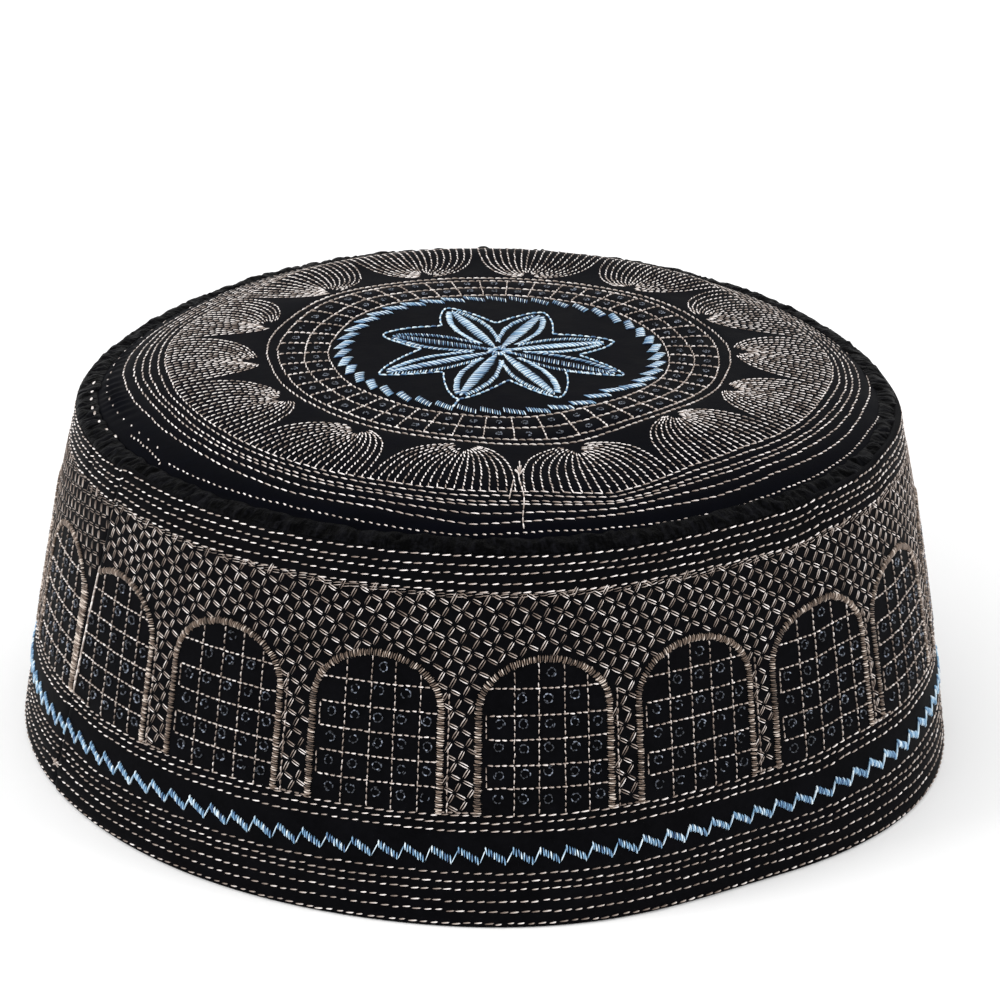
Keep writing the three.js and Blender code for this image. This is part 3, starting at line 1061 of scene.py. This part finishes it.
carry_foot = np.stack(np.broadcast_arrays(tooth_at + CARRY_FROM[0], CARRY_FROM[1]), -1)
carry_top = np.stack(np.broadcast_arrays(tooth_at + CARRY_TO[0], CARRY_TO[1]), -1)
tooth_starts = np.concatenate((strand_foot.reshape(-1, 2), carry_foot.reshape(-1, 2)))
tooth_ends = np.concatenate((strand_top.reshape(-1, 2), carry_top.reshape(-1, 2)))
tooth_starts, tooth_ends = turned_about(tooth_starts, tooth_ends)
tooth_starts = tooth_starts + chance.normal(0, 0.07, tooth_starts.shape)
tooth_ends = tooth_ends + chance.normal(0, 0.07, tooth_ends.shape)
carried = np.arange(len(tooth_starts)) >= TOOTH_COUNT * TOOTH_STRANDS
sew_on_band(
    "blue_saw_tooth",
    blue_thread,
    "blue_thread",
    to_bearing(tooth_starts),
    to_bearing(tooth_ends),
    width=np.where(carried, 0.2, 0.31),
    height=0.42,
    tone=np.where(carried, 0.8, chance.uniform(0.3, 0.9, len(tooth_starts))),
)


# Crown rounds and fans. Rounds of cream running stitch ring the crown's edge, and from the
# innermost of them fourteen fans of sewn strands draw together towards the middle. A dotted line
# holds the edge at the seam, sparse at the left and doubled there for a short stretch.
FAN_EDGES = (-7, 18.5, 44.5, 69, 95, 120.5, 145.5, 168.5, 193, 221.7, 248, 273.5, 301, 329)
FAN_TIPS = (7, 31, 56, 83, 109, 136, 161.8, 186, 211.5, 237.2, 262.6, 287.4, 316, 340.6)
FAN_STRANDS = 18
FAN_FOOT = EDGE_LINES[0]
FAN_TIP = 46.3
FOURTH_SPREAD = 0.45
SPARSE_FROM = 140
SPARSE_TO = 213
TWIN_FROM = 205
TWIN_TO = 217
TWIN_GAP = 0.85


def sew_on_crown(name, finish, slot, starts, ends, width, height, tone):
    """Sews stitches given as pattern angle and reach."""
    angle, reach = ((starts + ends) / 2).T
    step = 40 / np.maximum(reach, 2)
    side = crown_point(angle + step, reach) - crown_point(angle - step, reach)
    out = crown_point(angle, reach + 0.8) - crown_point(angle, np.maximum(reach - 0.8, 0.01))
    normals = unit(np.cross(out, side))
    sew(name, finish, slot, crown_point(*starts.T), crown_point(*ends.T), normals, width, height, tone)


def crown_rounds(lines, pitch, share, chance):
    """Rounds of running stitch as starts and ends in pattern angle and reach."""
    starts = []
    ends = []
    for line in lines:
        count = round(2 * math.pi * line / pitch)
        step = 360 / count
        at = np.arange(count) * step + chance.uniform(0, step) + chance.normal(0, 0.04, count)
        half = step * share / 2 * chance.uniform(0.9, 1.06, count)
        wander = 0.12 * np.sin(np.radians(at * 11 + line * 40)) + chance.normal(0, 0.05, count)
        starts.append(np.stack((at - half, line + wander - 0.1), -1))
        ends.append(np.stack((at + half, line + wander + 0.1), -1))
    return np.concatenate(starts), np.concatenate(ends)


chance = np.random.default_rng(88)
round_starts, round_ends = crown_rounds(EDGE_LINES, 1.9, 0.88, chance)
fourth = np.abs(round_starts[:, 1] - EDGE_LINES[3]) < 0.4
apart = FOURTH_SPREAD * np.cos(np.radians(round_starts[:, 0])) ** 2 * fourth
round_starts[:, 1] += apart
round_ends[:, 1] += apart
dot_starts, dot_ends = crown_rounds((SEAM_LINE,), 1.45, 0.62, chance)
turn = dot_starts[:, 0] % 360
twin = (turn > TWIN_FROM) & (turn < TWIN_TO)
sparse = (turn > SPARSE_FROM) & (turn < SPARSE_TO) & (np.arange(len(turn)) % 3 == 0)
kept = (turn < SPARSE_FROM) | (turn > TWIN_TO) | sparse
dot_starts = np.concatenate((dot_starts[kept], dot_starts[twin] + (0, TWIN_GAP)))
dot_ends = np.concatenate((dot_ends[kept], dot_ends[twin] + (0, TWIN_GAP)))
round_starts = np.concatenate((round_starts, dot_starts))
round_ends = np.concatenate((round_ends, dot_ends))
sew_on_crown(
    "crown_edge_rounds",
    cream_thread,
    "cream_thread",
    round_starts,
    round_ends,
    width=0.34,
    height=0.13,
    tone=chance.uniform(0.4, 0.95, len(round_starts)),
)

fan_starts = []
fan_ends = []
for edge, next_edge, tip in zip(FAN_EDGES, FAN_EDGES[1:] + (FAN_EDGES[0] + 360,), FAN_TIPS):
    tip_drift = chance.normal(0, 0.4)
    for spread in (np.arange(FAN_STRANDS) + 0.5) / FAN_STRANDS * 2 - 1:
        away = abs(spread)
        way = np.linspace(chance.uniform(0, 0.07), 1, 40)
        tip_reach = FAN_TIP + (1 - away) * 2.6 + tip_drift
        tip_turn = tip + math.copysign(0.3 + 1.2 * away, spread)
        foot_turn = (edge + next_edge + spread * (next_edge - edge)) / 2
        turn = foot_turn + (tip_turn - foot_turn) * (1 - way) ** 2.7
        reach = tip_reach + (FAN_FOOT - tip_reach) * way ** (1 + 0.6 * away)
        flat = np.stack((np.radians(turn - tip) * reach, reach), -1)
        before, after = along_path(flat, chance.uniform(1.15, 1.6), 0.86)
        for ends, aside, kept in ((before, -0.1, fan_starts), (after, 0.1, fan_ends)):
            ends = ends + (aside, 0) + chance.normal(0, 0.06, ends.shape)
            kept.append(np.stack((tip + np.degrees(ends[:, 0] / ends[:, 1]), ends[:, 1]), -1))
fan_starts = np.concatenate(fan_starts)
fan_ends = np.concatenate(fan_ends)
sew_on_crown(
    "crown_fans",
    cream_thread,
    "cream_thread",
    fan_starts,
    fan_ends,
    width=0.27,
    height=0.12,
    tone=chance.uniform(0.25, 1.5, len(fan_starts)),
)


# Crown grid ring. Four rounds of cream running stitch and forty-six short spokes make a ring of
# panes round the middle, with a small slate ring sewn in each pane.
SPOKE_COUNT = 46
SPOKE_FIRST = 1.7
SPOKE_SWAY = 1.7
SPOKE_SWAY_AT = 270
SPOKE_SWAY_SPREAD = 28
PANE_REACHES = (35.9, 40.8)
PANE_RING_RADIUS = 0.68
chance = np.random.default_rng(99)
grid_starts, grid_ends = crown_rounds(GRID_LINES, 1.5, 0.98, chance)
spoke_at = SPOKE_FIRST + np.arange(SPOKE_COUNT) * 360 / SPOKE_COUNT
spoke_at = spoke_at - SPOKE_SWAY * bell(spoke_at - SPOKE_SWAY_AT, SPOKE_SWAY_SPREAD)
spoke_from = np.linspace(GRID_LINES[0], GRID_LINES[2], 9)
spokes = np.stack(np.meshgrid(spoke_at, spoke_from[:-1], indexing="ij"), -1).reshape(-1, 2)
spoke_step = spoke_from[1] - spoke_from[0]
spokes = spokes + chance.normal(0, 0.05, spokes.shape)
grid_starts = np.concatenate((grid_starts, spokes + (0, spoke_step * 0.08)))
grid_ends = np.concatenate((grid_ends, spokes + (0.1, spoke_step * 0.92)))
sew_on_crown(
    "crown_grid_ring",
    cream_thread,
    "cream_thread",
    grid_starts,
    grid_ends,
    width=0.26,
    height=0.26,
    tone=chance.uniform(0.4, 0.95, len(grid_starts)),
)

pane_at = spoke_at + 180 / SPOKE_COUNT
rings = np.stack(np.meshgrid(pane_at, PANE_REACHES, indexing="ij"), -1).reshape(-1, 2)
before, after, kept = ring_stitches(len(rings), PANE_RING_RADIUS, chance)
scale = np.stack((np.degrees(1 / rings[:, 1]), np.ones(len(rings))), -1)
ring_starts = (rings[:, None] + before * scale[:, None])[kept]
ring_ends = (rings[:, None] + after * scale[:, None])[kept]
sew_on_crown(
    "crown_pane_rings",
    slate_thread,
    "blue_thread",
    ring_starts,
    ring_ends,
    width=0.24,
    height=0.2,
    tone=chance.uniform(0.1, 0.8, len(ring_starts)),
)


# Blue wreath and flower. At the middle of the crown a ring of slanting blue satin blocks surrounds
# an eight-petalled flower of shaded blue floss. Each petal has a leaf-shaped middle rib, two bowed
# side ribs and a running outline. A knot covers the middle, and one thread runs on to the wreath.
WREATH_COUNT = 43
WREATH_FIRST = 3.7
WREATH_STRANDS = 9
WREATH_BLOCK = 6.9
WREATH_IN = 28.5
WREATH_OUT = 30.9
WREATH_SWAY = ((0, 0.5), (40, 0.2), (180, 0.2), (200, 0), (235, -0.45), (262, 0.2))
WREATH_SWAY += ((285, 0.7), (303, 0.7), (306, -1.1), (318, -0.9), (322, 0.5), (360, 0.5))
PETAL_ROOT = 2.6
PETAL_LENGTH = 22.5
# Petals: angle and reach of the tip, angle and reach of the notch after it, tone, a painted sheen that
# each petal's slant takes from the light
PETALS = (
    (17, 23.8, 43, 14.5, 0.7),
    (69, 24.5, 92.5, 15.5, 0.55),
    (113.5, 26.3, 131, 17.5, 0.85),
    (161, 24.6, 178, 15.2, 0.35),
    (209.5, 26.9, 227, 15.7, 0.6),
    (253, 26.8, 277, 15.5, 0.55),
    (295.5, 27.2, 321.5, 16.4, 0.8),
    (334, 27.1, 355, 15.5, 0.35),
)
RIB_REACHES = (4.5, 7, 12, 16, 20, 22.5)
SIDE_RIB_OFFSETS = (1.8, 2.6, 3.35, 3.07, 1.9, 0.6)
SIDE_RIB_HALF = 0.55
MIDDLE_RIB_HALF = 1.25
OUTLINE_BOW = 1.5
THREAD_ANGLE = 253.5
chance = np.random.default_rng(111)
block_at = np.arange(WREATH_COUNT)[:, None] * 360 / WREATH_COUNT + WREATH_FIRST
share = np.arange(WREATH_STRANDS) / (WREATH_STRANDS - 1)
sway = np.interp(block_at, *zip(*WREATH_SWAY))
strand_at = block_at + share * WREATH_BLOCK
strand_in = np.stack((strand_at, WREATH_IN + 1.7 * share + sway), -1).reshape(-1, 2)
strand_out = np.stack((strand_at + 0.5, WREATH_OUT + 1.5 * share + sway), -1).reshape(-1, 2)
blue_starts = [strand_in]
blue_ends = [strand_out]
blue_width = [np.full(len(strand_in), 0.22)]
# Neighbouring strands alternate light and dark, a painted highlight and painted shade that part the
# strands, varied by chance.
blue_tone = [np.resize((0.95, 0.3), len(strand_in)) + chance.uniform(-0.25, 0.25, len(strand_in))]


def polar(places):
    """Pattern angle and reach of flat places about the flower's middle."""
    angle = np.degrees(np.arctan2(places[:, 1], places[:, 0]))
    return np.stack((angle, np.hypot(places[:, 0], places[:, 1])), -1)


def petal_places(angle, reach, aside):
    """Flat places at a reach along a petal's middle line and a distance to its left."""
    turn = math.radians(angle)
    along = np.array((math.cos(turn), math.sin(turn)))
    left = np.array((-math.sin(turn), math.cos(turn)))
    return reach[:, None] * along + np.broadcast_to(aside, reach.shape)[:, None] * left


def keep_blue(starts, ends, width, tone):
    """Adds flat strands of blue floss to those that will be sewn."""
    blue_starts.append(polar(starts + chance.normal(0, 0.05, starts.shape)))
    blue_ends.append(polar(ends + chance.normal(0, 0.05, ends.shape)))
    blue_width.append(np.full(len(starts), width))
    shine = np.resize((0.36, -0.28), len(starts))
    blue_tone.append(tone + shine + chance.uniform(-0.2, 0.2, len(starts)))


outline = []
for angle, tip, notch_angle, notch, tone in PETALS:
    length = (tip - PETAL_ROOT) / PETAL_LENGTH
    reach = np.arange(2.3, PETAL_LENGTH, 0.48) * length
    half = MIDDLE_RIB_HALF * np.sqrt(np.clip(1 - ((reach / length - 12.5) / 10.2) ** 2, 0.02, 1))
    keep_blue(petal_places(angle, reach - 0.5, half), petal_places(angle, reach + 0.5, -half), 0.27, tone)
    for side in (-1, 1):
        reach = np.arange(5.0, 22.4, 0.52)
        aside = np.interp(reach, RIB_REACHES, SIDE_RIB_OFFSETS)
        inner = petal_places(angle, (reach - 0.45) * length, side * (aside - SIDE_RIB_HALF))
        outer = petal_places(angle, (reach + 0.45) * length, side * (aside + SIDE_RIB_HALF))
        keep_blue(inner, outer, 0.25, tone + 0.1)
    for corner_angle, corner_reach in ((angle, tip), (notch_angle, notch)):
        turn = math.radians(corner_angle)
        outline.append((corner_reach * math.cos(turn), corner_reach * math.sin(turn)))

corners = np.array(outline + outline[:1])
bowed = []
for first, second in zip(corners[:-1], corners[1:]):
    way = np.linspace(0, 1, 12)[:-1, None]
    middle = (first + second) / 2
    bow = middle / np.linalg.norm(middle) * OUTLINE_BOW
    bowed.append(first + (second - first) * way + bow * 4 * way * (1 - way))
before, after = along_path(np.concatenate(bowed + [corners[:1]]), 1.3, 1.04)
keep_blue(before, after, 0.38, 0.8)
knot_turn = np.radians(np.arange(0, 360, 11.0))
knot_in = np.stack((np.cos(knot_turn), np.sin(knot_turn)), -1) * 0.6
knot_out = np.stack((np.cos(knot_turn + 0.5), np.sin(knot_turn + 0.5)), -1)
keep_blue(knot_in, knot_out * chance.uniform(1.5, 3.1, len(knot_turn))[:, None], 0.4, 0.45)
thread_turn = math.radians(THREAD_ANGLE)
thread_way = np.linspace(26.3, 30.5, 4)[:, None] * np.array((math.cos(thread_turn), math.sin(thread_turn)))
keep_blue(thread_way[:-1], thread_way[1:], 0.5, 0.55)

blue_starts = np.concatenate(blue_starts)
blue_ends = np.concatenate(blue_ends)
blue_ends[:, 0] = blue_starts[:, 0] + degrees_apart(blue_ends[:, 0], blue_starts[:, 0])
sew_on_crown(
    "blue_wreath_and_flower",
    blue_thread,
    "blue_thread",
    blue_starts,
    blue_ends,
    width=np.concatenate(blue_width),
    height=0.24,
    tone=np.concatenate(blue_tone),
)


# Loose threads. A cream thread end was left on the front of the crown, laid from the seam inwards
# and frayed at its tip, with a shorter end beside it. A small tuft of cut ends stands at the band's
# join, near the rim.
TAIL_ANGLE = 273.7
TAIL_FROM = 74.5
TAIL_TO = 53
FRAY_ROOT = (273.8, 58.5)
FRAY_TIPS = ((273.0, 56.5), (273.6, 55.0), (274.4, 54.4), (274.9, 56.0))
TUFT_COUNT = 9
TUFT_ROOT = (-63.2, 5.2)
chance = np.random.default_rng(122)
tail_reach = np.linspace(TAIL_FROM, TAIL_TO, 14)
tail_angle = TAIL_ANGLE + 0.25 * np.sin(tail_reach * 0.5) + (TAIL_FROM - tail_reach) * 0.01
tail = np.stack((tail_angle, tail_reach), -1)
stub = np.stack((np.linspace(271.7, 272.6, 5), np.linspace(66.7, 60.7, 5)), -1)
fray_roots = np.broadcast_to(FRAY_ROOT, (len(FRAY_TIPS), 2))
loose_starts = np.concatenate((tail[:-1], stub[:-1], fray_roots))
loose_ends = np.concatenate((tail[1:], stub[1:], FRAY_TIPS))
sew_on_crown(
    "loose_thread_ends",
    cream_thread,
    "cream_thread",
    loose_starts,
    loose_ends,
    width=0.26,
    height=0.4,
    tone=chance.uniform(0.5, 1.0, len(loose_starts)),
)

tuft_root = np.broadcast_to(TUFT_ROOT, (TUFT_COUNT, 2))
tuft_turn = np.arange(TUFT_COUNT) * 2 * math.pi / TUFT_COUNT
tuft_reach = chance.uniform(0.5, 1.1, TUFT_COUNT)
tuft_tip = tuft_root + np.stack((np.cos(tuft_turn) * tuft_reach, np.sin(tuft_turn) * tuft_reach), -1)
sew_on_band(
    "join_tuft",
    cream_thread,
    "cream_thread",
    tuft_root,
    tuft_tip,
    width=0.3,
    height=0.4,
    tone=chance.uniform(0.3, 0.8, TUFT_COUNT),
)


# Catch stitches. Left of the band's join a short row of cream stitches, sewn by hand over the
# gathers, holds the seam's roll down.
CATCH_FROM = -90
CATCH_TO = -63
CATCH_STEP = 3.4
CATCH_ROLLS = (116, 150)
CATCH_TURN = (-76, -64)
chance = np.random.default_rng(133)
catch_at = np.arange(CATCH_FROM, CATCH_TO, CATCH_STEP)
catch_roll = CATCH_ROLLS[0] + (CATCH_ROLLS[1] - CATCH_ROLLS[0]) * smooth_step(catch_at, *CATCH_TURN)
catch_half = chance.uniform(0.4, 0.6, len(catch_at))
sew(
    "seam_catch_stitches",
    cream_thread,
    "cream_thread",
    seam_point(catch_at - catch_half, catch_roll + 3),
    seam_point(catch_at + catch_half, catch_roll - 3),
    unit(seam_point(catch_at, catch_roll) - placed(catch_at, SEAM_RADIUS, SEAM_HEIGHT)),
    width=0.4,
    height=0.36,
    tone=chance.uniform(0.5, 1.0, len(catch_at)),
)
